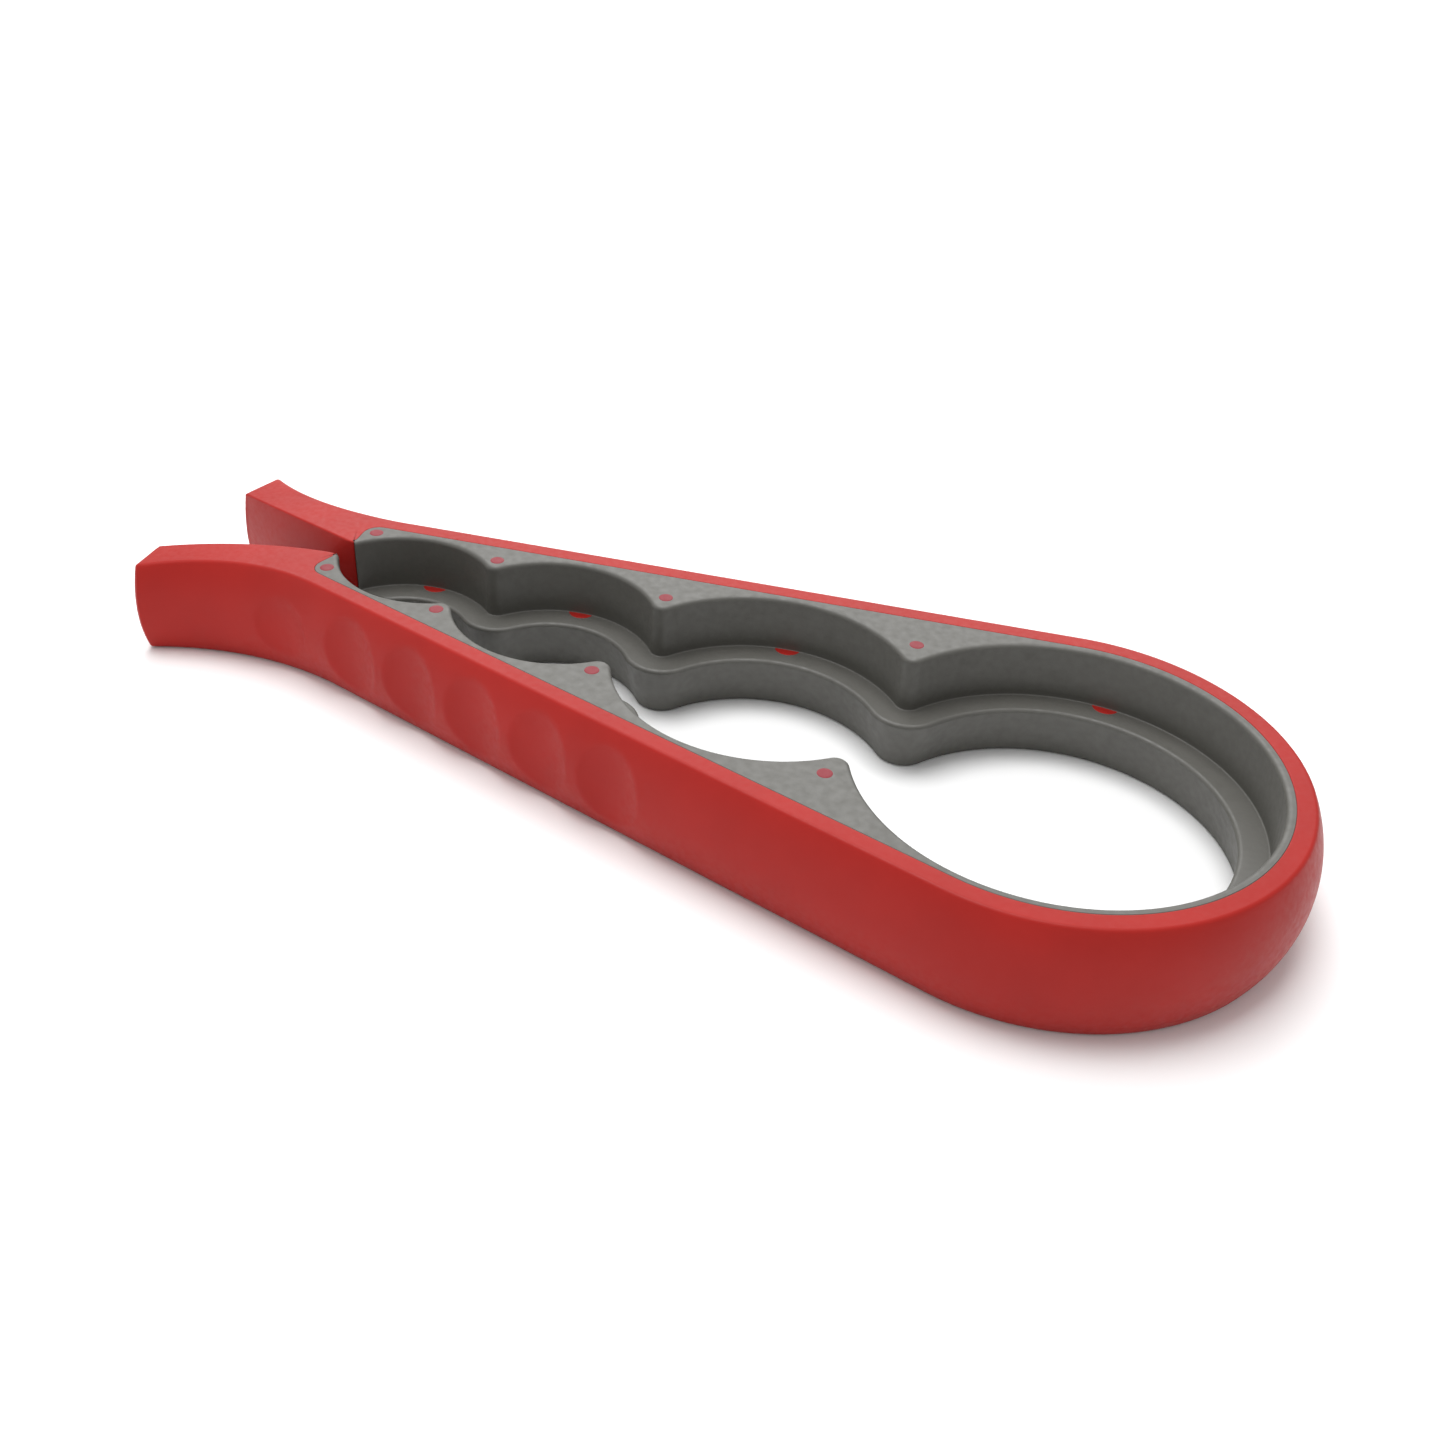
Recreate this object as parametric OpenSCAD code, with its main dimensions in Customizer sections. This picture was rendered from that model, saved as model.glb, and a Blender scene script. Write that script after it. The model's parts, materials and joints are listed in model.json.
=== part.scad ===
// Squeeze-loop jar and bottle opener: a springy loop with two handles and a stepped rubber grip.
// +X runs from the handles to the round bow, +Z is up, and the two arms mirror each other
// across the plane y = 0. The origin is under the middle of the loop, on the face it rests on.
// Pieces are drawn round the bow's centre, for the arm on the +Y side, and placed by place().

/* [Loop] */
// Height of the loop, from the table to its top face
height = 21.1; // [18:0.1:28]
// How far the outer wall bulges out at mid-height
crown = 2.75; // [1:0.05:4]
// Width of the rigid rim round the grip, at its top edge
rim_w = 3.3; // [2.4:0.1:5]
// Angle between each arm and the centre line
arm_angle = 10.9; // [9:0.1:12]
// Angle from the bow's tip at which the bow becomes an arm
seam_angle = 80; // [70:1:88]

/* [Grip] */
// Radius of the grip round the largest lid, in the bow
large_r = 35.2; // [32:0.1:42]
// Radius of the grip round a medium lid
medium_r = 27.8; // [26:0.1:32]
// Radius of the grip round a small lid
small_r = 20.2; // [19:0.1:24]
// Radius of the grip round a bottle cap
cap_r = 18.3; // [17:0.1:19.5]
// Distance along an arm from the largest grip to the medium one
medium_at = 53.2; // [50:0.1:56]
// Distance along an arm from the largest grip to the small one
small_at = 94.5; // [92:0.1:98]
// Distance along an arm from the largest grip to the bottle-cap grip
cap_at = 124.9; // [122:0.1:127]
// Rubber left between a grip and the rim where it is thinnest
pad_min = 1.5; // [1:0.1:3]
// Rounding of the noses between two grips
nose_round = 2.3; // [1:0.1:3]
// Height of the ledge that stops a large lid
ledge_z = 10.4; // [6:0.1:14]
// Width of the ledge
ledge_w = 5.1; // [3:0.1:6]
// How much wider the grip below the ledge gets towards the table
draft = 2.3; // [0:0.1:3]
// Length of the rubber along an arm
liner_l = 138.6; // [136:0.1:142]
// Rounding of the rubber's outer end corner
liner_round = 3; // [1:0.1:5]

/* [Handles] */
// Distance from the bow's centre to the handle ends
reach = 177; // [168:1:195]
// Gap between the two handle roots
root_gap = 5.2; // [4:0.1:8]
// Straight length of each arm before its handle flares
flare_at = 131; // [128:0.5:134]
// Radius of the hollow outer side of the flare
flare_r = 57.5; // [50:0.5:80]
// Distance from the bow's centre at which the handles start to part
part_at = 143; // [142:0.5:146]
// Angle between the centre line and a handle's inner side where it starts
part_angle = 10.9; // [6:0.1:14]
// Radius of the inner side of each handle
inner_r = 150; // [120:1:200]
// How far the inner side of a handle bulges at mid-height
inner_crown = 1.3; // [0.5:0.1:2]
// Radius of the slope that lowers the handles' top face
slope_r = 210; // [180:5:400]
// Distance from the bow's centre at which that slope begins
slope_at = 144.5; // [138:0.5:152]
// Angle at which it begins
slope_angle = 1.2; // [0.5:0.1:3]
// Angle by which the bulge of a handle's sides leans down with that slope
lean = 2.4; // [0:0.1:4]
// Angle between a handle's end face and straight across
end_angle = 11; // [0:0.5:15]

/* [Finger grooves] */
// Grooves on the straight part of each arm
grooves = 5; // [1:1:5]
// Distance along the arm of the groove nearest the bow
groove_at = 61; // [55:0.5:62]
// Spacing of the grooves
groove_pitch = 15.35; // [13:0.05:15.5]
// Radius of a groove
groove_r = 15; // [12:0.5:20]
// Depth of a groove at mid-height
groove_d = 1.5; // [0.5:0.1:1.8]
// Depth of the last, faint groove, where the handle starts to flare
flare_groove_d = 0.4; // [0.2:0.1:1.5]

/* [Posts and keys] */
// Diameter of the posts that carry the noses of the grip
post_d = 2.8; // [2:0.1:3.4]
// How far each nose's post stands behind the centre of its rounding, from the bow back
post_back = [3.3, 1.6, 0.6]; // [0:0.1:4]
// Distance of the last post from the rubber's end, and from the rim
end_post_in = 2.5; // [2:0.1:4]
// Thickness of the hidden web between a post and the rim
web_t = 1.6; // [1:0.1:2.4]
// Height of that web
web_h = 8; // [4:0.5:9]
// Diameter of the half-round keys that stand in the ledge
key_d = 5; // [4:0.1:6]
// How far a key's centre stands behind the wall above the ledge
key_in = 0.6; // [0:0.1:1]

/* [Hidden] */
$fn = 96;
far = 1;
near = -1;
nose_r = large_r + pad_min + rim_w;
inside_r = nose_r - rim_w;
crown_r = (crown * crown + height * height / 4) / (2 * crown);
inner_crown_r = (inner_crown * inner_crown + height * height / 4) / (2 * inner_crown);
bow_x = (reach - nose_r - crown) / 2;
wide = 100;
eps = 0.5;
// How far the cutters that lean reach past the part's height.
lean_room = 8;
// How far the rounding of a nose stands into the grips beside it, so that they cross cleanly.
nose_lap = 0.06;

// Distance out from the arm's axis of the plane that bounds the gap between the roots.
function gap_n(u) = (root_gap / 2 + u * sin(arm_angle)) / cos(arm_angle);
// Where circles round a and b meet, on the left of the way from a to b.
function meet(a, ra, b, rb) =
    let (d = norm(b - a), t = (ra * ra - rb * rb + d * d) / (2 * d), h = sqrt(ra * ra - t * t))
    a + (b - a) * t / d + [-(b - a)[1], (b - a)[0]] * h / d;

// Centre of the round inner side of a handle, and where that side meets the end face.
inner_root = [-part_at, root_gap / 2];
inner_c = inner_root + inner_r * [sin(part_angle), cos(part_angle)];
end_y = inner_c[1] - sqrt(pow(inner_r, 2) - pow(reach + inner_c[0], 2));

// Places on an arm are (distance along it from the bow, distance out from the bow's centre).
grip_r = [large_r, medium_r, small_r, cap_r];
grip_at = [0, medium_at, small_at, cap_at];
grip_c = [for (i = [0:3]) [grip_at[i], inside_r - pad_min - grip_r[i]]];
// Centre of the rounding of each nose, between the grips on both sides of it.
nose_reach = nose_round - nose_lap;
nose_c = [
    for (i = [0:2])
        meet(grip_c[i], grip_r[i] + nose_reach, grip_c[i + 1], grip_r[i + 1] + nose_reach)
];
post_at = [
    for (i = [0:2]) nose_c[i] + [0, post_back[i]],
    [liner_l - end_post_in, inside_r - end_post_in]
];
// The first key is straight across from the largest grip's centre, before the arm starts.
key_at = [
    (large_r + key_in) * [-sin(arm_angle), cos(arm_angle)],
    for (i = [1:3]) [grip_at[i], inside_r - pad_min + key_in]
];

red = "#c8322f";
grey = "#8f918b";

// Moves a piece from the bow's centre to the row frame, on the +Y or the -Y side.
module place(side) {
    translate([bow_x, 0, 0])
        mirror([0, side < 0 ? 1 : 0, 0]) children();
}

// Draws children in the arm's own axes: x along the arm from the bow, y out from it.
module along_arm() {
    mirror([1, 0, 0]) rotate([0, 0, -arm_angle]) children();
}

// Profile of the rim wall: flat inside, bulging outside. x is the distance out.
module rim_profile() {
    intersection() {
        translate([inside_r, 0]) square([wide, height]);
        translate([nose_r + crown - crown_r, height / 2]) circle(r = crown_r);
    }
}

// Outline of the rubber's outer side along an arm, from the rim's start to its round end.
function liner_back() = [
    [0, inside_r],
    for (a = [90:-15:0])
        [liner_l - liner_round, inside_r - liner_round] + liner_round * [cos(a), sin(a)]
];

// Everything along an arm that lies inside the rim.
module inside_rim() {
    polygon([[0, 0], each liner_back(), [liner_l, 0]]);
}

// Outline of one arm's rubber before the grips are cut: a chain through the centres of the
// grips and of the noses between them.
module liner_chain() {
    polygon([
        [0, 0],
        each liner_back(),
        [liner_l, gap_n(liner_l)],
        [cap_at, gap_n(cap_at)],
        grip_c[3],
        nose_c[2],
        grip_c[2],
        nose_c[1],
        grip_c[1],
        nose_c[0]
    ]);
}

// One height of an arm's rubber. The grips are cones, r_in less than their named radius at
// the top of it and wider by flare_out at its bottom, and the noses grow to match.
module liner_tier(h, r_in, flare_out) {
    difference() {
        linear_extrude(h) liner_chain();
        for (i = [0:3]) translate(grip_c[i])
            cylinder(h = h, r1 = grip_r[i] - r_in + flare_out, r2 = grip_r[i] - r_in);
    }
    for (i = [0:2]) intersection() {
        translate(nose_c[i])
            cylinder(h = h, r1 = nose_round + r_in - flare_out, r2 = nose_round + r_in);
        linear_extrude(h) polygon([nose_c[i] + [0, nose_round], grip_c[i], grip_c[i + 1]]);
    }
}

// Profile of the rubber round the bow: an upright wall over a ledge and a drafted wall.
module bow_liner_profile() {
    polygon([
        [large_r - ledge_w + draft, 0],
        [inside_r, 0],
        [inside_r, height],
        [large_r, height],
        [large_r, ledge_z],
        [large_r - ledge_w, ledge_z]
    ]);
}

// The bow's rigid rim.
module bow_frame() {
    color(red) place(far) rotate([0, 0, -seam_angle])
        rotate_extrude(angle = 2 * seam_angle) rim_profile();
}

// The bow's rubber.
module bow_liner() {
    color(grey) place(far) rotate([0, 0, -seam_angle])
        rotate_extrude(angle = 2 * seam_angle) bow_liner_profile();
}

// The straight part of an arm's rim, from the seam with the bow to the handle.
module arm_frame(side) {
    color(red) place(side) difference() {
        union() {
            rotate([0, 0, seam_angle])
                rotate_extrude(angle = 90 + arm_angle - seam_angle) rim_profile();
            along_arm() rotate([90, 0, 90]) linear_extrude(flare_at) rim_profile();
        }
        along_arm() for (i = [0:grooves - 1]) groove(groove_at + i * groove_pitch, groove_d);
    }
}

// A finger groove: an upright cylinder that bites depth into the bulge of the outer wall.
module groove(along, depth) {
    translate([along, nose_r + crown + groove_r - depth, -eps])
        cylinder(h = height + 2 * eps, r = groove_r);
}

// A handle: flared outwards, bulging on both sides, and lower towards its end.
module handle(side) {
    color(red) place(side) difference() {
        intersection() {
            handle_blank();
            handle_inner_side();
        }
        handle_outer_cut();
        along_arm() groove(groove_at + grooves * groove_pitch, flare_groove_d);
        handle_top_cut();
        along_arm() translate([0, 0, -eps]) linear_extrude(height + 2 * eps) inside_rim();
    }
}

// Everything past the flare's start, up to the handle's end and the gap between the roots.
module handle_blank() {
    intersection() {
        translate([-reach, root_gap / 2, 0]) cube([reach, wide, height]);
        along_arm() translate([flare_at, -wide / 2, 0]) cube([wide, 2 * wide, height]);
        translate([-reach, end_y, 0]) rotate([0, 0, -end_angle])
            translate([0, -wide, -eps]) cube([wide, 2 * wide, height + 2 * eps]);
    }
}

// The round barrel whose side is the handle's inner side.
module handle_inner_side() {
    translate([inner_root[0], inner_root[1], height / 2]) rotate([0, -lean, 0])
        translate(inner_c - inner_root) rotate_extrude() intersection() {
            translate([0, -height / 2 - lean_room])
                square([inner_r + wide, height + 2 * lean_room]);
            union() {
                translate([0, -height / 2 - 2 * lean_room])
                    square([inner_r - inner_crown_r, height + 4 * lean_room]);
                translate([inner_r + inner_crown - inner_crown_r, 0])
                    circle(r = inner_crown_r);
            }
        }
}

// The waisted round that hollows the outer side of the flare, bulging as the rim does.
module handle_outer_cut() {
    along_arm() translate([flare_at, nose_r + flare_r, height / 2]) rotate([0, lean, 0])
        rotate_extrude() difference() {
            translate([0, -height / 2 - lean_room])
                square([flare_r + lean_room, height + 2 * lean_room]);
            translate([flare_r - crown + crown_r, 0]) circle(r = crown_r);
        }
}

// Takes the top of the handle down along a long round slope.
module handle_top_cut() {
    c = [slope_r * sin(slope_angle) - slope_at, wide, height - slope_r * cos(slope_angle)];
    translate(c) rotate([90, 0, 0]) difference() {
        translate([-wide, 0, 0]) cube([wide, slope_r + eps, 2 * wide]);
        translate([0, 0, -eps]) cylinder(h = 2 * wide + 2 * eps, r = slope_r);
    }
}

// The grip's rubber along one arm, from the seam with the bow.
module arm_liner(side) {
    color(grey) place(side) difference() {
        union() {
            rotate([0, 0, seam_angle])
                rotate_extrude(angle = 90 + arm_angle - seam_angle) bow_liner_profile();
            along_arm() {
                liner_tier(ledge_z, ledge_w, draft);
                translate([0, 0, ledge_z]) liner_tier(height - ledge_z, 0, 0);
            }
        }
        for (i = [0:3]) {
            nose_post_solid(i);
            ledge_key_round(i);
        }
    }
}

// A post that stands in a nose of the grip, flush with its top, with its web to the rim.
module nose_post_solid(i) {
    along_arm() {
        translate(post_at[i]) cylinder(h = height, d = post_d);
        intersection() {
            translate(post_at[i] - [web_t / 2, 0]) cube([web_t, wide, web_h]);
            linear_extrude(web_h) inside_rim();
        }
    }
}

// The whole round that a key is half of, level with the ledge.
module ledge_key_round(i) {
    along_arm() translate(key_at[i]) cylinder(h = ledge_z, d = key_d);
}

// A half-round key on the rim: the part of its round that stands inside the rim.
module ledge_key_solid(i) {
    intersection() {
        ledge_key_round(i);
        if (i == 0) cylinder(h = ledge_z, r = inside_r);
        else along_arm() cube([liner_l, inside_r, ledge_z]);
    }
}

module nose_post(side, i) {
    color(red) place(side) nose_post_solid(i);
}

module ledge_key(side, i) {
    color(red) place(side) ledge_key_solid(i);
}

// The pieces of one arm, each under its own name.
module arm(name, side) {
    arm_frame(side);
    handle(side);
    arm_liner(side);
    for (i = [0:3]) {
        nose_post(side, i);
        ledge_key(side, i);
    }
}

bow_frame();
bow_liner();
arm("far", far);
arm("near", near);
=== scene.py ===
"""Visual model of the squeeze-loop jar and bottle opener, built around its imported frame.

Shapes are worked out in millimetres in plan, with the origin at the bow's centre, for the arm on
the +Y side, and mirrored for the other one. place() turns them into metres in the row frame.
"""

import json
import math

import bmesh
import bpy
import numpy as np
from mathutils import Matrix, Vector


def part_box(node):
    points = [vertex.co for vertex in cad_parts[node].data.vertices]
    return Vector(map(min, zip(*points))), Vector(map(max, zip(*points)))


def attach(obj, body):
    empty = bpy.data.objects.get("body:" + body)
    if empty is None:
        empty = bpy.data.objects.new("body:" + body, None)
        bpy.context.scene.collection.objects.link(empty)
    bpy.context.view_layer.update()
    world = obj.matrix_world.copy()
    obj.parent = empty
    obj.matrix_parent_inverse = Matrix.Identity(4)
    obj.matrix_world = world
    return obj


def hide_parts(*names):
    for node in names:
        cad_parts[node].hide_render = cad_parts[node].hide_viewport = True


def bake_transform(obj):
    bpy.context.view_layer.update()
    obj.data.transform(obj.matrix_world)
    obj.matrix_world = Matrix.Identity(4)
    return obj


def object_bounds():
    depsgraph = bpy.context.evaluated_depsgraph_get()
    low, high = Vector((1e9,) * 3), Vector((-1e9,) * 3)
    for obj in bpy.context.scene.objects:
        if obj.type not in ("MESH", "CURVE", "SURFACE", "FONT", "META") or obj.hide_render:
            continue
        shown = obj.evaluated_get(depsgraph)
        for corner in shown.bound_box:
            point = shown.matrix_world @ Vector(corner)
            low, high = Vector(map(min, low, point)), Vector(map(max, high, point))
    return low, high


MM = 0.001
SIDES = {"far": 1, "near": -1}
BODIES = {"far": "far_arm", "near": "near_arm"}

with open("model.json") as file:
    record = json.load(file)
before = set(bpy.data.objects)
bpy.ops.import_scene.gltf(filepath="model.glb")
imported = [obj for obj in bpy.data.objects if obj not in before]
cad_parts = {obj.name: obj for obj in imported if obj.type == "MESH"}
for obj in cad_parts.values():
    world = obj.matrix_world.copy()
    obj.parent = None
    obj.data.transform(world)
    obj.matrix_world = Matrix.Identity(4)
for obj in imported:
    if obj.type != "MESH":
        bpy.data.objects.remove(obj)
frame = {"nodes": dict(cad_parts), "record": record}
bpy.context.view_layer.update()
cad_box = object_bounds()

# --- Sizes, in mm, from the frame ---------------------------------------------------------

mounts = {m["name"]: m for m in frame["record"]["mounts"]}
lid_grip = mounts["large_lid_grip"]
BOW_X = lid_grip["pos_m"][0] / MM
LARGE_R = lid_grip["dims"]["r_mm"]
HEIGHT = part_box("bow_frame")[1].z / MM
REACH = BOW_X - cad_box[0].x / MM


def node_points(node):
    """The points of a CAD node, in mm round the bow's centre."""
    points = np.array([v.co for v in frame["nodes"][node].data.vertices]) / MM
    return points - [BOW_X, 0, 0]


def top_points(node):
    """The points of a CAD node's top face, in plan."""
    points = node_points(node)
    return points[points[:, 2] > points[:, 2].max() - 0.01][:, :2]


LEDGE_Z = node_points("far_ledge_key_1")[:, 2].max()
CROWN = cad_box[1].x / MM - BOW_X - top_points("bow_frame")[:, 0].max()

# --- Sizes, in mm, of the design ----------------------------------------------------------

ARM_ANGLE = math.radians(10.9)
RIM_W = 3.3
PAD_MIN = 1.5
LEDGE_W = 5.1
DRAFT = 2.3
NOSE_ROUND = 2.3
GRIP_R = [LARGE_R, 27.8, 20.2, 18.3]
GRIP_AT = [0, 53.2, 94.5, 124.9]
LINER_L = 138.6
LINER_ROUND = 3.0
ROOT_Y = 2.6
FLARE_AT = 131.0
FLARE_R = 57.5
PART_AT = 143.0
PART_ANGLE = math.radians(10.9)
INNER_R = 150.0
INNER_CROWN = 1.3
SLOPE_R = 210.0
SLOPE_AT = 144.5
SLOPE_ANGLE = math.radians(1.2)
LEAN = math.radians(2.4)
END_ANGLE = math.radians(11)
GROOVE_AT = 61.0
GROOVE_PITCH = 15.35
GROOVE_R = 15.0
GROOVE_DEPTHS = [1.5, 1.5, 1.5, 1.5, 1.5, 0.4]

# Small roundings that only the looks need, and how far posts and keys stand out below.
OUTER_FILLET = 0.8
INNER_FILLET = 0.4
END_FILLET = 0.9
ROOT_ROUND = 0.35
GRIP_FILLET = 0.85
LEDGE_FILLET = 0.7
SEAM_BEVEL = 0.1
SUPPORT = 0.12
PROUD = 0.02
LEDGE_CORNER = 0.2
LEDGE_SUPPORT = 0.35
GROOVE_SMOOTH = 0.12
ROOT_SMOOTH = 0.15
# The foot of the liner's wall: how far each point stands out from it, and its height.
LINER_FOOT = [(0.05, 0.3), (-0.04, 0.09), (-0.3, 0.0)]
# A post's lower bevel, and its domed top: (inset, rise) round the edge, (share of the
# radius, rise) on the way in, and the rise of the middle.
POST_BEVEL = 0.1
POST_EDGE = [(0.0, -0.15), (0.05, -0.02), (0.14, 0.03)]
POST_DOME = (0.6, 0.035)
TOP_RISE = 0.04
KEY_INSET = 0.06

# How finely the meshes are cut: distances between cross-sections in mm, and numbers of
# points or cross-sections.
PLAIN_STEP = 3.0
FINE_STEP = 0.45
LINER_STEP = 0.5
HANDLE_STEP = 1.4
GRIP_STEP = 1.0
LAST_GRIP_STEP = 0.55
FINE_REACH = 8
CORNER_REACH = 0.7
BOW_RINGS = 68
NOSE_RINGS = 15
OUTER_LEVELS = 30
INNER_LEVELS = 12
TOP_POINTS = 8
FILLET_POINTS = 5
ROUND_POINTS = 6
POST_TURNS = 40
HALVINGS = 24
# Height or distance over which a slope is measured, and a limit that never cuts.
PROBE = 0.1
NO_LIMIT = 99.0
# Edges that turn by more than this many degrees stay sharp.
SKIN_SHARP = 38
POST_SHARP = 60
KEY_SHARP = 30

# --- Colours, camera and lights -----------------------------------------------------------

RED = (0.365, 0.017, 0.013)
POST_RED = (0.24, 0.032, 0.042)
GREY = (0.075, 0.072, 0.061)
FLOOR = (0.94, 0.94, 0.94)

# Azimuth, elevation and roll in degrees, target in mm from the bow's centre, distance in m.
CAMERA_TURN = (-66.51, 35.19, -3.29)
CAMERA_TARGET = (-65.3, 10.3)
CAMERA_DISTANCE = 0.2963
CAMERA_LENS = 39.11

# Name, place in m, size in m and power in W. Each light points at the origin.
LIGHTS = [
    ("overhead", (-0.14, 0.06, 0.85), (0.6, 0.6), 6.4),
    ("back", (-0.42, 1.05, 0.75), (1.3, 0.85), 8.5),
    ("handle_side", (-0.8, -0.55, 0.35), (0.5, 0.4), 0.6),
]
WORLD_LIGHT = 0.56
FLOOR_HALF = 3.0
FLOOR_GAP = 0.0002

# --- Values that follow from the sizes ----------------------------------------------------

INSIDE_R = LARGE_R + PAD_MIN
NOSE_R = INSIDE_R + RIM_W
CROWN_R = (CROWN ** 2 + HEIGHT ** 2 / 4) / (2 * CROWN)
INNER_CROWN_R = (INNER_CROWN ** 2 + HEIGHT ** 2 / 4) / (2 * INNER_CROWN)
SIN_A, COS_A = math.sin(ARM_ANGLE), math.cos(ARM_ANGLE)
INNER_C = np.array([-PART_AT + INNER_R * math.sin(PART_ANGLE),
                    ROOT_Y + INNER_R * math.cos(PART_ANGLE)])
# Plan y of the inner end of the handle's end face.
END_Y = INNER_C[1] - math.sqrt((INNER_R + INNER_CROWN) ** 2 - (REACH + INNER_C[0]) ** 2)


# --- Geometry in plan ---------------------------------------------------------------------

def arm_point(u, n):
    """Plan point at distance u along the arm and n out from its axis."""
    u, n = np.broadcast_arrays(np.asarray(u, float), np.asarray(n, float))
    return np.stack([-u * COS_A - n * SIN_A, -u * SIN_A + n * COS_A], -1)


def along(vector):
    """An arm-axes direction turned into plan."""
    return arm_point(vector[..., 0], vector[..., 1])


def bulge(z, crown, radius):
    """How far a bulging wall stands out at height z."""
    return crown - radius + np.sqrt(radius ** 2 - (z - HEIGHT / 2) ** 2)


def smooth_min(a, b, k):
    """The smaller of two values, with a rounded change over of width k."""
    h = np.clip(0.5 + 0.5 * (b - a) / k, 0, 1)
    return b + (a - b) * h - k * h * (1 - h)


def polar(angle, radius=1.0):
    """Plan point at an angle and a distance from the bow's centre."""
    return np.stack([radius * np.cos(angle), radius * np.sin(angle)], -1)


def top_height(x):
    """Height of the handle's top face at plan x."""
    past = np.maximum(0, -x - SLOPE_AT)
    return HEIGHT - (np.sqrt(SLOPE_R ** 2 - (SLOPE_R * math.sin(SLOPE_ANGLE)) ** 2)
                     - np.sqrt(SLOPE_R ** 2 - (SLOPE_R * math.sin(SLOPE_ANGLE) + past) ** 2))


def groove_limit(u):
    """How far the wall may stand out of the rim's top edge where the finger grooves cut it."""
    limit = np.full(np.shape(u), NO_LIMIT)
    for i, depth in enumerate(GROOVE_DEPTHS):
        away = np.asarray(u) - GROOVE_AT - i * GROOVE_PITCH
        near = np.abs(away) < GROOVE_R * 0.95
        cut = CROWN + GROOVE_R - depth - np.sqrt(np.where(near, GROOVE_R ** 2 - away ** 2, 1))
        limit = np.where(near, np.minimum(limit, cut), limit)
    return limit


# --- The red frame ------------------------------------------------------------------------

# A wall is a function of height that gives its plan points, how far it bulges there, and its
# outward normal.

def bow_outer(angle):
    """The bow's bulging outer side at an angle from its tip."""
    def wall(z):
        out = bulge(z, CROWN, CROWN_R)
        return polar(np.full(np.shape(z), angle), NOSE_R + out), out, polar(angle)
    return wall


def arm_outer(u):
    """The arm's outer side, with the finger grooves, at distance u along it."""
    def wall(z):
        out = bulge(z, CROWN, CROWN_R)
        cut = smooth_min(out, groove_limit(u), GROOVE_SMOOTH)
        return arm_point(u, NOSE_R + cut), out, arm_point(0, 1)
    return wall


def end_x(y):
    """Plan x of the handle's slanting end face."""
    return -REACH + (y - END_Y) * math.tan(END_ANGLE)


def flare_bulge(z, turn):
    """How far the flare's outer side bulges: its widest height sinks towards the end."""
    return bulge(z + FLARE_R * np.sin(turn) * math.tan(LEAN), CROWN, CROWN_R)


def flare_point(turn, out):
    """Plan point of the flare's outer side after a turn, out from its narrowest."""
    rho = FLARE_R - out
    return arm_point(FLARE_AT + rho * np.sin(turn), NOSE_R + FLARE_R - rho * np.cos(turn))


def flare_last(z):
    """Turn at which the flare's outer side meets the rounding of the end face."""
    low, high = np.zeros(np.shape(z)), np.ones(np.shape(z))
    for _ in range(HALVINGS):
        turn = (low + high) / 2
        point = flare_point(turn, flare_bulge(z, turn))
        past = point[..., 0] < end_x(point[..., 1]) + END_FILLET
        low, high = np.where(past, low, turn), np.where(past, turn, high)
    return low


def flare_outer(share):
    """The waisted side of the flare, share of the way from its start to the end face."""
    def wall(z):
        turn = share * flare_last(z)
        out = flare_bulge(z, turn)
        u = FLARE_AT + (FLARE_R - out) * np.sin(turn)
        limit = FLARE_R - (FLARE_R - groove_limit(u)) / np.cos(turn)
        middle = share * flare_last(np.array(HEIGHT / 2))
        normal = along(np.array([-math.sin(middle), math.cos(middle)]))
        return flare_point(turn, smooth_min(out, limit, GROOVE_SMOOTH)), out, normal
    return wall


def flat_inner(point, normal):
    """An upright inner side that passes through a plan point."""
    def wall(z):
        return np.broadcast_to(point, (*np.shape(z), 2)), np.zeros(np.shape(z)), normal
    return wall


def handle_inner_y(x, z):
    """Plan y of the handle's inner side: a barrel whose widest height sinks towards the end,
    cut off at the gap between the roots."""
    out = bulge(z - (x + PART_AT) * math.tan(LEAN), INNER_CROWN, INNER_CROWN_R)
    y = INNER_C[1] - np.sqrt((INNER_R + out) ** 2 - (x - INNER_C[0]) ** 2)
    return -smooth_min(-y, np.full(np.shape(y), -ROOT_Y), ROOT_SMOOTH), out


def handle_inner(x):
    """The handle's free inner side at plan x."""
    def wall(z):
        y, out = handle_inner_y(x, z)
        slope = (handle_inner_y(x + PROBE, z)[0] - y) / PROBE
        normal = np.stack([slope, np.full(np.shape(y), -1.0)], -1)
        normal /= np.linalg.norm(normal, axis=-1)[..., None]
        return np.stack([np.full(np.shape(y), x), y], -1), out, normal
    return wall


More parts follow.
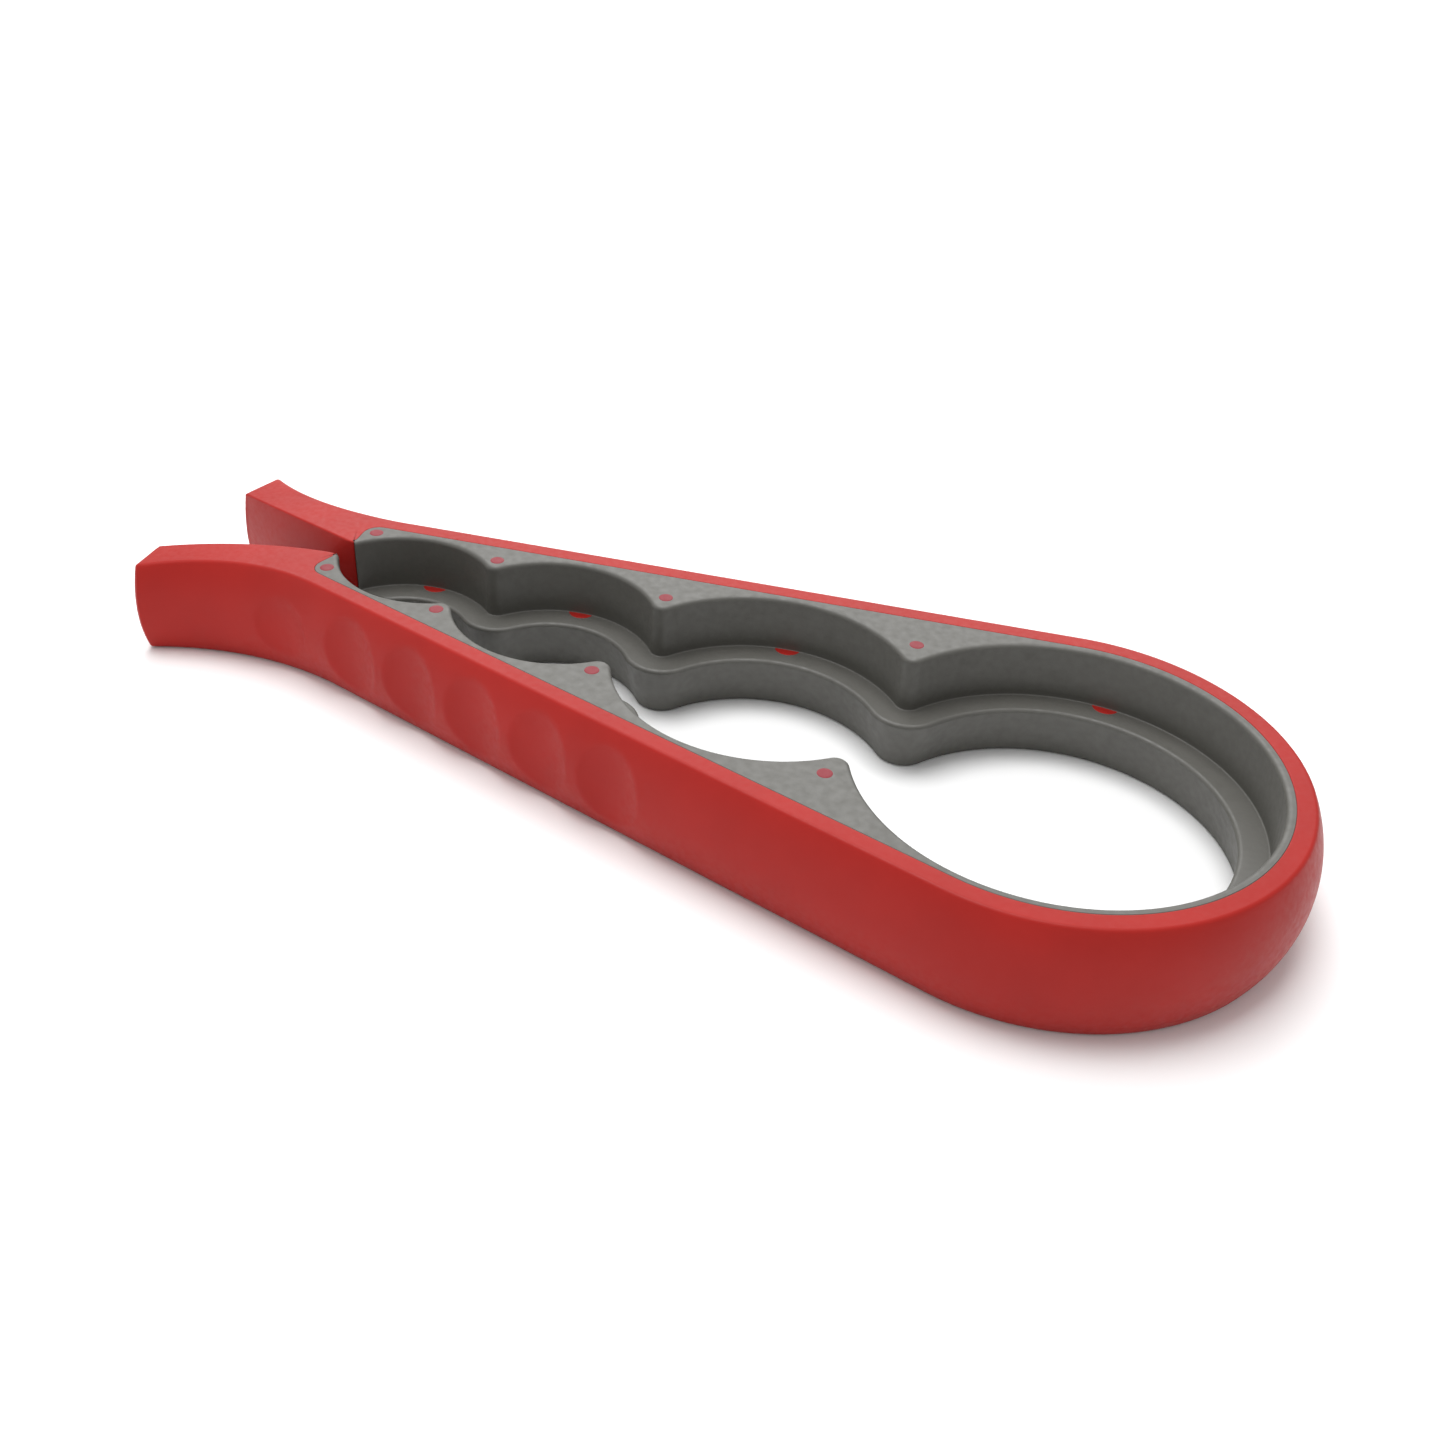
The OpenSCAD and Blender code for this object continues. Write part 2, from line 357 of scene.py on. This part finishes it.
def inner_walls():
    """The walls of the frame's inner side past the flare's start, with how far each one
    belongs to the handle's free inner side."""
    rows = []
    for u in np.arange(FLARE_AT, LINER_L - LINER_ROUND, LINER_STEP):
        rows.append((flat_inner(arm_point(u, INSIDE_R), along(np.array([0, -1]))), 0.0))
    middle = arm_point(LINER_L - LINER_ROUND, INSIDE_R - LINER_ROUND)
    for a in np.radians(np.arange(90, -1, -10)):
        rows.append((flat_inner(middle + along(polar(a, LINER_ROUND)), along(-polar(a))), 0.0))
    corner_n = (ROOT_Y + LINER_L * SIN_A) / COS_A
    first, last = INSIDE_R - LINER_ROUND - LINER_STEP, corner_n + CORNER_REACH
    for n in np.arange(first, last, -LINER_STEP):
        rows.append((flat_inner(arm_point(LINER_L, n), along(np.array([-1, 0]))), 0.0))
    corner = arm_point(LINER_L, corner_n)
    before, after = along(np.array([-1, 0])), np.array([0, -1])
    for t in np.linspace(0, 1, 5):
        normal = before * (1 - t) + after * t
        point = (corner + along(np.array([0, 1])) * ROOT_ROUND * (1 - t) ** 2
                 + np.array([-1, 0]) * ROOT_ROUND * t ** 2)
        rows.append((flat_inner(point, normal / np.linalg.norm(normal)), t))
    x, last = corner[0] - CORNER_REACH, -REACH + END_FILLET
    while x > last + 0.2:
        rows.append((handle_inner(x), 1.0))
        x -= FINE_STEP if x > corner[0] - FINE_REACH else HANDLE_STEP
    rows.append((handle_inner(last), 1.0))
    return rows


def fillet(corner, before, after, radius, steps):
    """Points of the arc that rounds a corner between two unit directions in (out, z)."""
    before, after = np.array(before, float), np.array(after, float)
    turn = math.acos(np.clip(before @ after, -1, 1))
    reach = radius * math.tan(turn / 2)
    start, stop = corner - before * reach, corner + after * reach
    inward = after - before
    middle = corner + inward / np.linalg.norm(inward) * math.hypot(radius, reach)
    arms = start - middle, stop - middle
    points = []
    for t in np.linspace(0, 1, steps):
        w = (np.sin((1 - t) * turn) * arms[0] + np.sin(t * turn) * arms[1]) / math.sin(turn)
        points.append(middle + w)
    return points


def wall_side(wall, rounding, levels):
    """Points down a wall from the top face to the table, rounded at both edges, with a close
    support point on the flat beside each rounding."""
    top = float(top_height(wall(np.array(HEIGHT))[0][0]))
    profile = []
    for z_edge in (top, 0.0):
        z = np.array([z_edge, z_edge - PROBE])
        out = wall(z)[1]
        corner = np.array([out[0], z_edge])
        down = np.array([out[1] - out[0], -PROBE]) / math.hypot(out[1] - out[0], PROBE)
        if z_edge > 0:
            arc = fillet(corner, (1, 0), down, rounding, FILLET_POINTS)
            profile.append([arc[0] - [SUPPORT, 0]] + arc)
        else:
            arc = fillet(corner, down, (-1, 0), rounding, FILLET_POINTS)
            profile.append(arc + [arc[-1] - [SUPPORT, 0]])
    high, low = profile[0][-1][1], profile[1][0][1]
    zs = high + (low - high) * np.linspace(0, 1, levels + 2)[1:-1]
    middle = np.column_stack([wall(zs)[1], zs])
    out, z = np.vstack([profile[0], middle, profile[1]]).T
    points, free, normal = wall(z)
    return np.column_stack([points + (out - free)[:, None] * normal, z])


def frame_ring(outer, inner, inner_rounding):
    """The closed ring of points of one cross-section: outer wall down, inner wall up, and
    back across the top face."""
    down = wall_side(outer, OUTER_FILLET, OUTER_LEVELS)
    up = wall_side(inner, inner_rounding, INNER_LEVELS)[::-1]
    share = np.linspace(0, 1, TOP_POINTS)[1:-1, None]
    across = up[-1] * (1 - share) + down[0] * share
    across[:, 2] = top_height(across[:, 0])
    return np.vstack([down, up, across])


def bow_angles():
    """Angles of the bow's cross-sections from its tip, with a close one beside the tip so
    that the two halves meet without a shading seam."""
    seam = math.pi / 2 + ARM_ANGLE
    return [0, math.radians(0.15)] + list(np.linspace(0, seam, BOW_RINGS)[1:])


def walked(points):
    """Distance along a path at each of its points."""
    return np.r_[0, np.cumsum(np.linalg.norm(np.diff(points, axis=0), axis=1))]


def frame_rings():
    """The frame's cross-sections from the bow's tip to the handle's end."""
    rings = [frame_ring(bow_outer(a), flat_inner(polar(a, INSIDE_R), -polar(a)), SEAM_BEVEL)
             for a in bow_angles()]
    inward = along(np.array([0, -1]))
    fine_from = GROOVE_AT - FINE_REACH
    plain = np.arange(2.0, fine_from, PLAIN_STEP)
    fine = np.arange(fine_from, FLARE_AT - 0.2, FINE_STEP)
    for u in [*plain, *fine]:
        inner = flat_inner(arm_point(u, INSIDE_R), inward)
        rings.append(frame_ring(arm_outer(u), inner, SEAM_BEVEL))
    rows = inner_walls()
    places = np.array([wall(np.array(HEIGHT / 2))[0] for wall, _ in rows])
    steps = walked(places)
    for (inner, free), step in zip(rows, steps):
        rounding = SEAM_BEVEL + (INNER_FILLET - SEAM_BEVEL) * free
        rings.append(frame_ring(flare_outer(step / steps[-1]), inner, rounding))
    return rings + end_rings(rings[-1])


def end_rings(ring):
    """Rings that round the handle's end face, from its last cross-section."""
    yz = ring[:, 1:]
    tangent = np.roll(yz, -1, 0) - np.roll(yz, 1, 0)
    tangent /= np.linalg.norm(tangent, axis=1)[:, None]
    inward = np.column_stack([tangent[:, 1], -tangent[:, 0]])
    if ((yz.mean(0) - yz) * inward).sum() < 0:
        inward = -inward
    rings = []
    for a in np.radians([25, 50, 75, 90]):
        inset = yz + inward * END_FILLET * (1 - math.cos(a))
        x = end_x(inset[:, 0]) + END_FILLET * (1 - math.sin(a))
        rings.append(np.column_stack([x, inset]))
    return rings


# --- Meshes -------------------------------------------------------------------------------

def place(points, side):
    """Points in mm round the bow's centre, for the +Y arm, as metres in the row frame."""
    points = np.array(points, float).reshape(-1, 3)
    return (points * [1, side, 1] + [BOW_X, 0, 0]) * MM


def skin(name, rings, side, material):
    """A closed mesh from a row of rings of equal length, with flat caps at both ends."""
    count = len(rings[0])
    mesh = bpy.data.meshes.new(name)
    faces = []
    for j in range(len(rings) - 1):
        for k in range(count):
            a, b = j * count + k, j * count + (k + 1) % count
            faces.append((a, b, b + count, a + count))
    faces.append(tuple(range(count))[::-1])
    faces.append(tuple(range((len(rings) - 1) * count, len(rings) * count)))
    mesh.from_pydata(place(np.vstack(rings), side).tolist(), [], faces)
    bm = bmesh.new()
    bm.from_mesh(mesh)
    bmesh.ops.remove_doubles(bm, verts=bm.verts, dist=2e-6)
    bmesh.ops.recalc_face_normals(bm, faces=bm.faces)
    bm.to_mesh(mesh)
    bm.free()
    mesh.shade_smooth()
    mesh.set_sharp_from_angle(angle=math.radians(SKIN_SHARP))
    obj = bpy.data.objects.new(name, mesh)
    bpy.context.scene.collection.objects.link(obj)
    mesh.materials.append(material)
    return obj


# --- The grey liner -----------------------------------------------------------------------

def circles_meet(a, ra, b, rb):
    """Where circles round a and b meet, on the left of the way from a to b."""
    d = np.linalg.norm(b - a)
    t = (ra * ra - rb * rb + d * d) / (2 * d)
    h = math.sqrt(ra * ra - t * t)
    e = (b - a) / d
    return a + e * t + np.array([-e[1], e[0]]) * h


def angle_to(a, b):
    """Direction of b from a."""
    return math.atan2(b[1] - a[1], b[0] - a[0])


def arm_stations():
    """(centre, angle, is_nose, radius) of each cross-section of the liner along the arm,
    grip by grip, with the noses between them."""
    grips = [np.array([at, LARGE_R - r], float) for at, r in zip(GRIP_AT, GRIP_R)]
    noses = [
        circles_meet(grips[i], GRIP_R[i] + NOSE_ROUND, grips[i + 1], GRIP_R[i + 1] + NOSE_ROUND)
        for i in range(3)
    ]
    rows = []
    for i, (grip, radius) in enumerate(zip(grips, GRIP_R)):
        is_last = i == len(grips) - 1
        start = math.pi / 2 if i == 0 else angle_to(grip, noses[i - 1])
        stop = last_grip_angle(grip, 0.0) if is_last else angle_to(grip, noses[i])
        step = LAST_GRIP_STEP if is_last else GRIP_STEP
        count = max(6, int(abs(start - stop) * radius / step))
        for a in np.linspace(start, stop, count + 1)[1 if i == 0 else 0:]:
            rows.append((grip, a, False, radius))
        if not is_last:
            start = angle_to(noses[i], grip)
            stop = angle_to(noses[i], grips[i + 1])
            for a in np.linspace(start, stop, NOSE_RINGS)[1:-1]:
                rows.append((noses[i], a, True, NOSE_ROUND))
    return rows


def liner_stations():
    """(centre, angle, is_nose, radius, back) of each cross-section of the liner's half, from
    the bow's tip. Its face lies at radius and angle from the centre, in arm axes, and back
    is the plan point on the rim."""
    seam = math.pi / 2 + ARM_ANGLE
    stations = [(np.zeros(2), math.pi / 2 + seam - a, False, GRIP_R[0], polar(a, INSIDE_R))
                for a in bow_angles()]
    rows = arm_stations()
    us = [centre[0] + radius * math.cos(a) for centre, a, _, radius in rows]
    turn_at = LINER_L - LINER_ROUND - 3
    path = back_path(turn_at)
    steps = walked(path)
    for row, u in zip(rows, us):
        if u <= turn_at:
            back = arm_point(max(u, 0), INSIDE_R)
        else:
            s = (u - turn_at) / (us[-1] - turn_at) * steps[-1]
            back = np.array([np.interp(s, steps, path[:, k]) for k in (0, 1)])
        stations.append((*row, back))
    return stations


def last_grip_angle(centre, off):
    """Angle at which the last grip, off less in radius, meets the gap between the roots."""
    # The grip's point at angle a has the plan y of its centre plus r sin(a - ARM_ANGLE).
    r = GRIP_R[3] - off
    return ARM_ANGLE + math.asin((ROOT_Y - arm_point(*centre)[1]) / r)


def back_path(u):
    """Points of the rim round the liner's end, from distance u along the arm."""
    points = [arm_point(u, INSIDE_R)]
    c = (LINER_L - LINER_ROUND, INSIDE_R - LINER_ROUND)
    for a in np.radians(np.arange(90, -1, -7.5)):
        points.append(arm_point(c[0] + LINER_ROUND * math.cos(a),
                                c[1] + LINER_ROUND * math.sin(a)))
    points.append(arm_point(LINER_L, (ROOT_Y + LINER_L * SIN_A) / COS_A + 0.02))
    return np.array(points)


def liner_profile():
    """(off, z) down the liner's face: off is how far it stands into the opening."""
    f, g, c = GRIP_FILLET, LEDGE_FILLET, LEDGE_CORNER
    points = [(-f - SUPPORT, HEIGHT)]
    points += [(-f + f * math.sin(a), HEIGHT - f + f * math.cos(a))
               for a in np.linspace(0, math.pi / 2, ROUND_POINTS)]
    points += [(0, z) for z in np.linspace(HEIGHT - f - SUPPORT, LEDGE_Z + 0.5, 6)]
    points += [(c - c * math.cos(a), LEDGE_Z + c - c * math.sin(a))
               for a in np.linspace(0, math.pi / 2, 4)]
    points += [(off, LEDGE_Z) for off in (LEDGE_SUPPORT, LEDGE_W / 2, LEDGE_W - g - SUPPORT)]
    points += [(LEDGE_W - g + g * math.sin(a), LEDGE_Z - g + g * math.cos(a))
               for a in np.linspace(0, math.pi / 2, ROUND_POINTS)]
    lower = [LEDGE_Z - g - SUPPORT, LEDGE_Z * 0.66, LEDGE_Z * 0.33, LINER_FOOT[0][1] + SUPPORT]
    points += [(LEDGE_W - DRAFT * (1 - z / LEDGE_Z), z) for z in lower]
    foot = LEDGE_W - DRAFT
    points += [(foot + out, z) for out, z in LINER_FOOT]
    points += [(foot + LINER_FOOT[-1][0] - SUPPORT, 0.0)]
    return points


def liner_ring(station, profile):
    """The closed ring of points of one cross-section: the face down, and back along the rim.
    Past the last grip's centre the face stops at the gap between the roots."""
    centre, angle, nose, radius, back = station
    past_cap = arm_point(*centre)[0] if radius == GRIP_R[3] else -math.inf
    ring = []
    for off, z in profile:
        r = radius + off if nose else radius - off
        p = arm_point(*(centre + r * np.array([math.cos(angle), math.sin(angle)])))
        if p[1] < ROOT_Y and p[0] < past_cap:
            p = gap_point(centre, angle, off)
        ring.append([p[0], p[1], z])
    front = np.array(ring)
    rim = np.array([back[0], back[1], 0])
    inward = front[0] - [back[0], back[1], HEIGHT]
    inward[2] = 0
    inward /= max(np.linalg.norm(inward), 1e-6)
    b = SEAM_BEVEL
    bottom = [rim + inward * (b + SUPPORT), rim + inward * b, rim + [0, 0, b]]
    top = [rim + [0, 0, HEIGHT - b], rim + inward * b + [0, 0, HEIGHT],
           rim + inward * (b + SUPPORT) + [0, 0, HEIGHT]]
    return np.vstack([front, bottom, top])


def gap_point(centre, angle, off):
    """Where the last grip has met the gap between the roots, its face runs along the gap."""
    first = last_grip_angle(centre, off)
    last = last_grip_angle(centre, 0.0)
    share = (first - angle) / max(first - last, 1e-9)
    r = GRIP_R[3]
    start = arm_point(*(centre + (r - off) * np.array([math.cos(first), math.sin(first)])))
    stop = arm_point(*(centre + r * np.array([math.cos(last), math.sin(last)])))
    return start + (stop - start) * min(share, 1)


# --- Posts and keys -----------------------------------------------------------------------

def post(side_name, i, material):
    """A post that shows as a dot on a nose's top."""
    name = f"{side_name}_nose_post_{i}"
    side = SIDES[side_name]
    top = top_points(name) * [1, side]
    centre = (top.min(0) + top.max(0)) / 2
    radius = (top.max(0) - top.min(0))[0] / 2
    profile = [(0.0, -PROUD), (radius - POST_BEVEL, -PROUD), (radius, POST_BEVEL)]
    profile += [(radius - inset, HEIGHT + rise) for inset, rise in POST_EDGE]
    profile += [(radius * POST_DOME[0], HEIGHT + POST_DOME[1]), (0.0, HEIGHT + TOP_RISE)]
    turns = POST_TURNS
    bm = bmesh.new()
    rings = []
    for r, z in profile:
        count = 1 if r == 0 else turns
        rings.append([bm.verts.new((centre[0] + r * math.cos(2 * math.pi * t / turns),
                                    centre[1] + r * math.sin(2 * math.pi * t / turns), z))
                      for t in range(count)])
    for lower, upper in zip(rings, rings[1:]):
        for t in range(turns):
            quad = [lower[t % len(lower)], lower[(t + 1) % len(lower)],
                    upper[(t + 1) % len(upper)], upper[t % len(upper)]]
            bm.faces.new(dict.fromkeys(quad))
    return finish_small(bm, name, side_name, material, POST_SHARP)


def key(side_name, i, material):
    """A half-round key that shows as a half-moon in the ledge."""
    name = f"{side_name}_ledge_key_{i}"
    side = SIDES[side_name]
    outline = top_points(name) * [1, side]
    order = np.argsort(np.arctan2(*(outline - outline.mean(0)).T[::-1]))
    outline = outline[order]
    middle = outline.mean(0)
    bm = bmesh.new()
    rings = []
    for grow, z in ((0, -PROUD), (0, LEDGE_Z), (-KEY_INSET, LEDGE_Z + TOP_RISE)):
        ring = []
        for p in outline:
            q = p + (p - middle) / np.linalg.norm(p - middle) * grow
            ring.append(bm.verts.new((q[0], q[1], z)))
        rings.append(ring)
    for lower, upper in zip(rings, rings[1:]):
        for t in range(len(outline)):
            n = (t + 1) % len(outline)
            bm.faces.new((lower[t], lower[n], upper[n], upper[t]))
    bm.faces.new(rings[0][::-1])
    bm.faces.new(rings[-1])
    return finish_small(bm, name, side_name, material, KEY_SHARP)


def finish_small(bm, name, side_name, material, sharp):
    """Make a post's or key's object from its mesh, on its arm's body, in place of its node."""
    mesh = bpy.data.meshes.new(name + "_skin")
    bmesh.ops.remove_doubles(bm, verts=bm.verts, dist=1e-5)
    for v in bm.verts:
        v.co = Vector(place([v.co[:]], SIDES[side_name])[0])
    bmesh.ops.recalc_face_normals(bm, faces=bm.faces)
    bm.to_mesh(mesh)
    bm.free()
    mesh.shade_smooth()
    mesh.set_sharp_from_angle(angle=math.radians(sharp))
    mesh.materials.append(material)
    obj = bpy.data.objects.new(name + "_skin", mesh)
    bpy.context.scene.collection.objects.link(obj)
    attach(obj, BODIES[side_name])
    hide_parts(name)
    return obj


# --- Materials ----------------------------------------------------------------------------

def new_material(name, base, roughness, specular):
    """A material with its nodes, links and shader."""
    material = bpy.data.materials.new(name)
    material.use_nodes = True
    nodes, links = material.node_tree.nodes, material.node_tree.links
    shader = nodes["Principled BSDF"]
    shader.inputs["Base Color"].default_value = (*base, 1)
    shader.inputs["Roughness"].default_value = roughness
    shader.inputs["Specular IOR Level"].default_value = specular
    return material, nodes, links, shader


def noise(nodes, links, coords, scale, detail):
    """Noise fixed to the object, as a factor."""
    mapping = nodes.new("ShaderNodeMapping")
    links.new(coords.outputs["Object"], mapping.inputs["Vector"])
    texture = nodes.new("ShaderNodeTexNoise")
    texture.inputs["Scale"].default_value = scale
    texture.inputs["Detail"].default_value = detail
    links.new(mapping.outputs["Vector"], texture.inputs["Vector"])
    return texture.outputs["Fac"]


def ramp(nodes, links, source, stops):
    """A factor turned into a colour by stops of (position, colour)."""
    node = nodes.new("ShaderNodeValToRGB")
    links.new(source, node.inputs["Fac"])
    while len(node.color_ramp.elements) < len(stops):
        node.color_ramp.elements.new(0.5)
    for element, (at, colour) in zip(node.color_ramp.elements, stops):
        element.position = at
        element.color = (*colour, 1)
    return node.outputs["Color"]


def bump(nodes, links, height, strength, distance, before=None):
    """A normal bent by a height, on top of the one before."""
    node = nodes.new("ShaderNodeBump")
    node.inputs["Strength"].default_value = strength
    node.inputs["Distance"].default_value = distance
    links.new(height, node.inputs["Height"])
    if before is not None:
        links.new(before, node.inputs["Normal"])
    return node.outputs["Normal"]


def shade(colour, factor):
    """A colour made lighter or darker."""
    return tuple(c * factor for c in colour)


def red_plastic(name, base):
    material, nodes, links, shader = new_material(name, base, roughness=0.42, specular=0.16)
    coords = nodes.new("ShaderNodeTexCoord")
    cloud = noise(nodes, links, coords, scale=55, detail=3)
    links.new(ramp(nodes, links, cloud, [(0.3, shade(base, 0.93)), (0.7, shade(base, 1.06))]),
              shader.inputs["Base Color"])
    speck = noise(nodes, links, coords, scale=900, detail=2)
    links.new(ramp(nodes, links, speck, [(0.3, (0.36,) * 3), (0.75, (0.5,) * 3)]),
              shader.inputs["Roughness"])
    fine = noise(nodes, links, coords, scale=1600, detail=2)
    grain = bump(nodes, links, fine, strength=0.12, distance=0.00004)
    broad = noise(nodes, links, coords, scale=90, detail=2)
    wave = bump(nodes, links, broad, strength=0.2, distance=0.0001, before=grain)
    links.new(wave, shader.inputs["Normal"])
    return material


def grey_rubber():
    material, nodes, links, shader = new_material("grey_rubber", GREY, roughness=0.6,
                                                  specular=1.0)
    coords = nodes.new("ShaderNodeTexCoord")
    cloud = noise(nodes, links, coords, scale=70, detail=4)
    links.new(ramp(nodes, links, cloud, [(0.3, shade(GREY, 0.95)), (0.7, shade(GREY, 1.05))]),
              shader.inputs["Base Color"])
    speck = noise(nodes, links, coords, scale=700, detail=2)
    links.new(ramp(nodes, links, speck, [(0.3, (0.52,) * 3), (0.75, (0.68,) * 3)]),
              shader.inputs["Roughness"])
    fine = noise(nodes, links, coords, scale=1300, detail=3)
    grain = bump(nodes, links, fine, strength=0.2, distance=0.00005)
    links.new(grain, shader.inputs["Normal"])
    return material


def floor_material():
    material, nodes, links, shader = new_material("pale_floor", FLOOR, roughness=0.9,
                                                  specular=0.2)
    coords = nodes.new("ShaderNodeTexCoord")
    cloud = noise(nodes, links, coords, scale=3, detail=2)
    links.new(ramp(nodes, links, cloud, [(0.2, (0.93,) * 3), (0.8, (0.95,) * 3)]),
              shader.inputs["Base Color"])
    return material


# --- Scene --------------------------------------------------------------------------------

def make_camera():
    """The main camera, above the bow's near side."""
    azimuth, elevation, roll = (math.radians(a) for a in CAMERA_TURN)
    target = Vector(((BOW_X + CAMERA_TARGET[0]) * MM, CAMERA_TARGET[1] * MM, 0))
    away = Vector((math.cos(elevation) * math.cos(azimuth),
                   math.cos(elevation) * math.sin(azimuth), math.sin(elevation)))
    right = (-away).cross(Vector((0, 0, 1))).normalized()
    down = (-away).cross(right)
    x = math.cos(roll) * right + math.sin(roll) * down
    y = math.sin(roll) * right - math.cos(roll) * down
    data = bpy.data.cameras.new("camera")
    data.sensor_width = 36
    data.lens = CAMERA_LENS
    data.clip_start = 0.01
    camera = bpy.data.objects.new("camera", data)
    rotation = Matrix((x, y, away)).transposed().to_4x4()
    camera.matrix_world = Matrix.Translation(target + away * CAMERA_DISTANCE) @ rotation
    bpy.context.scene.collection.objects.link(camera)
    bpy.context.scene.camera = camera


def area_light(name, place_at, size, power):
    data = bpy.data.lights.new(name, "AREA")
    data.shape = "RECTANGLE"
    data.size, data.size_y = size
    data.energy = power
    light = bpy.data.objects.new(name, data)
    light.location = place_at
    light.rotation_euler = (-Vector(place_at)).to_track_quat("-Z", "Y").to_euler()
    bpy.context.scene.collection.objects.link(light)


def make_stage():
    """The floor, the world's light and the lamps."""
    mesh = bpy.data.meshes.new("floor")
    s = FLOOR_HALF
    mesh.from_pydata([(-s, -s, 0), (s, -s, 0), (s, s, 0), (-s, s, 0)], [], [(0, 1, 2, 3)])
    mesh.materials.append(floor_material())
    floor = bpy.data.objects.new("floor", mesh)
    floor.location.z = -FLOOR_GAP
    bpy.context.scene.collection.objects.link(floor)
    world = bpy.data.worlds.new("studio")
    bpy.context.scene.world = world
    world.use_nodes = True
    background = world.node_tree.nodes["Background"]
    background.inputs["Color"].default_value = (1, 1, 1, 1)
    background.inputs["Strength"].default_value = WORLD_LIGHT
    for light in LIGHTS:
        area_light(*light)
    bpy.context.scene.view_settings.view_transform = "Standard"


def build():
    """The frame's and the liner's halves, and the posts and keys."""
    red = red_plastic("red_plastic", RED)
    post_red = red_plastic("post_red", POST_RED)
    grey = grey_rubber()
    rings = frame_rings()
    profile = liner_profile()
    liner = [liner_ring(s, profile) for s in liner_stations()]
    for name, side in SIDES.items():
        hull = skin(f"{name}_frame_half", rings, side, red)
        pad = skin(f"{name}_liner_half", liner, side, grey)
        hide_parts("bow_frame", f"{name}_arm_frame", f"{name}_handle")
        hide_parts("bow_liner", f"{name}_arm_liner")
        for piece in (hull, pad):
            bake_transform(piece)
        for i in range(1, 5):
            post(name, i, post_red)
            key(name, i, red)


make_camera()
make_stage()
build()
